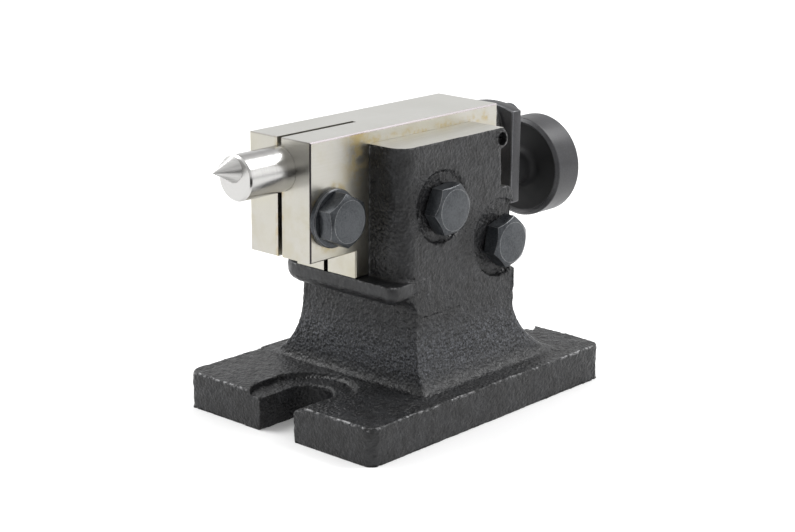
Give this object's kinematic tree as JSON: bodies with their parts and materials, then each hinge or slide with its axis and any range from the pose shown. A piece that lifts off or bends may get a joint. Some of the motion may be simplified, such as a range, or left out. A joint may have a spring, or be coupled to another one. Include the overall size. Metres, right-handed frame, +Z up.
{
  "type": "adjustable tailstock",
  "caption": "Cast base with a block clamped between two walls, carrying a quill with a fixed raised point; the block lifts and tilts, and a knob feeds the quill.",
  "frame": {"origin": "on the underside of the base, at mid-length, directly under the quill's axis", "axes": "+Z up, -X towards the point along the quill, -Y towards the side with the bolt heads"},
  "size_m": [0.1982, 0.104, 0.1212],
  "materials": {
    "casting_paint": "satin black paint on rough cast iron",
    "ground_steel": "surface ground",
    "bright_steel": "turned and polished",
    "bronze": "turned bronze",
    "dark_steel": "black oxide, satin",
    "black_oxide": "black oxide with bright worn edges"
  },
  "bodies": {
    "base": {"base_casting": "casting_paint"},
    "lock_screw": {"side_set_screw": "black_oxide"},
    "pivot": {"pivot_bush": "bright_steel"},
    "block": {"quill_block": "ground_steel", "feed_nut": "bronze"},
    "quill": {"quill": "bright_steel", "yoke_plate": "dark_steel", "yoke_dowel": "bright_steel", "yoke_screw": "black_oxide", "yoke_spring_washer": "black_oxide"},
    "feed": {"feed_screw": "bright_steel", "front_thrust_washer": "bright_steel", "rear_thrust_washer": "bright_steel", "knob": "dark_steel", "knob_pin": "bright_steel"},
    "quill_clamp": {"quill_clamp_bolt": "black_oxide", "quill_clamp_washer": "black_oxide"},
    "pivot_clamp": {"pivot_clamp_bolt": "black_oxide"},
    "rear_clamp": {"rear_clamp_bolt": "black_oxide"}
  },
  "joints": [
    {"name": "block_tilt", "type": "hinge", "parent": "base", "child": "pivot", "pos_m": [-0.0133, 0, 0.089], "axis": [0, 1, 0], "range_deg": [0, 4]},
    {"name": "block_lift", "type": "slide", "parent": "pivot", "child": "block", "axis": [0, 0, 1], "range_m": [0, 0.016]},
    {"name": "quill_slide", "type": "slide", "parent": "block", "child": "quill", "axis": [-1, 0, 0], "range_m": [-0.0135, 0.012]},
    {"name": "knob_spin", "type": "hinge", "parent": "quill", "child": "feed", "pos_m": [0.07, 0, 0.0854], "axis": [-1, 0, 0], "range_deg": [-3241, 2881]},
    {"name": "quill_clamp_turn", "type": "hinge", "parent": "block", "child": "quill_clamp", "pos_m": [-0.0592, -0.02, 0.0902], "axis": [0, -1, 0], "range_deg": [0, 270]},
    {"name": "pivot_clamp_turn", "type": "hinge", "parent": "base", "child": "pivot_clamp", "pos_m": [-0.0133, -0.03, 0.089], "axis": [0, -1, 0], "range_deg": [0, 270]},
    {"name": "rear_clamp_turn", "type": "hinge", "parent": "base", "child": "rear_clamp", "pos_m": [0.0238, -0.03, 0.0687], "axis": [0, -1, 0], "range_deg": [0, 270]},
    {"name": "set_screw_turn", "type": "hinge", "parent": "base", "child": "lock_screw", "pos_m": [0.0234, -0.02, 0.1113], "axis": [0, -1, 0], "range_deg": [0, 270]}
  ],
  "couplings": [
    {"joint": "knob_spin", "follows": "quill_slide", "rad_per_m": 4188.8}
  ]
}
